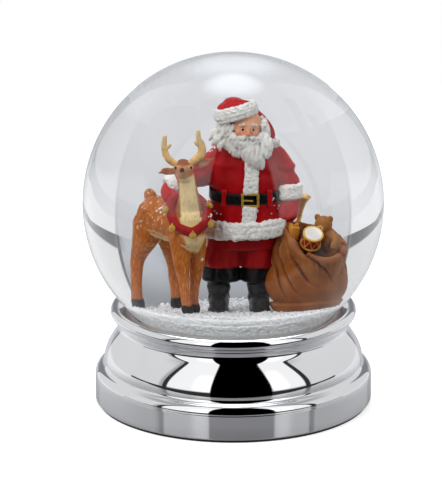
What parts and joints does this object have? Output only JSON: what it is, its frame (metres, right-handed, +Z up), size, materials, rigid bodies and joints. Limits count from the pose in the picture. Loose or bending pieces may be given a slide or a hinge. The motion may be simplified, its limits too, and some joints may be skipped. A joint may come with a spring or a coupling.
{
  "type": "snow globe",
  "caption": "Water-filled glass snow globe on a chrome-plated flared base, holding a Santa with a toy sack and a reindeer on a snowy plinth, with a wind-up musical movement in the base.",
  "frame": {"origin": "centre of the base's round footprint, on the surface it stands on", "axes": "+Z up through the globe, -Y towards the viewer, whom the figures face, +X to that viewer's right"},
  "size_m": [0.1, 0.1, 0.118],
  "materials": {
    "chrome": "mirror plated",
    "foot_rubber": "matt",
    "cover": "fine grained",
    "screw_steel": "zinc plated",
    "seal": "satin",
    "glass": "polished clear",
    "plug": "matt",
    "snow": "granular painted resin",
    "flake": "satin",
    "liquid": "clear water",
    "santa_paint": "satin hand-painted resin",
    "deer_paint": "satin hand-painted resin",
    "antler_paint": "satin hand-painted resin",
    "sack_paint": "satin hand-painted resin",
    "drum_paint": "metallic gold paint",
    "bear_paint": "satin hand-painted resin",
    "horn_paint": "metallic gold paint",
    "gift_paint": "metallic gold paint",
    "plated_iron": "nickel plated",
    "blue_steel": "oiled spring steel",
    "brass": "satin brass",
    "fan_steel": "satin"
  },
  "bodies": {
    "globe": {"rubber_foot_ring": "foot_rubber", "base_shell": "chrome", "bottom_cover": "cover", "cover_screws": "screw_steel", "globe_seat_ring": "seal", "globe_glass": "glass", "rubber_plug": "plug", "snow_plinth": "snow", "loose_flakes": "flake", "liquid": "liquid", "santa": "santa_paint", "reindeer": "deer_paint", "antlers": "antler_paint", "toy_sack": "sack_paint", "toy_drum": "drum_paint", "toy_bear": "bear_paint", "toy_horn": "horn_paint", "gift_box": "gift_paint", "bedplate": "plated_iron", "movement_screws": "screw_steel", "spring_housing": "plated_iron", "mainspring": "blue_steel", "comb": "plated_iron", "comb_screws": "screw_steel", "drum_post": "plated_iron", "governor_frame": "plated_iron"},
    "winder": {"winding_shaft": "screw_steel", "main_gear": "brass", "winding_key": "brass"},
    "drum": {"pin_drum": "brass", "drum_pinion": "brass", "drum_wheel": "brass"},
    "transfer": {"transfer_wheel": "brass"},
    "governor": {"governor_fan": "fan_steel"}
  },
  "joints": [
    {"name": "winding", "type": "hinge", "parent": "globe", "child": "winder", "pos_m": [-0.011, 0, 0.004], "axis": [0, 0, 1], "continuous": true},
    {"name": "drum_spin", "type": "hinge", "parent": "globe", "child": "drum", "pos_m": [0.012, 0, 0.0165], "axis": [1, 0, 0], "continuous": true},
    {"name": "transfer_spin", "type": "hinge", "parent": "globe", "child": "transfer", "pos_m": [0.023, 0.0072, 0.0165], "axis": [1, 0, 0], "continuous": true},
    {"name": "governor_spin", "type": "hinge", "parent": "globe", "child": "governor", "pos_m": [0.02398, 0.013, 0.0165], "axis": [0, 0, 1], "continuous": true}
  ],
  "couplings": [
    {"joint": "drum_spin", "follows": "winding", "ratio": -2.6667},
    {"joint": "transfer_spin", "follows": "winding", "ratio": 8},
    {"joint": "governor_spin", "follows": "winding", "ratio": -192}
  ]
}
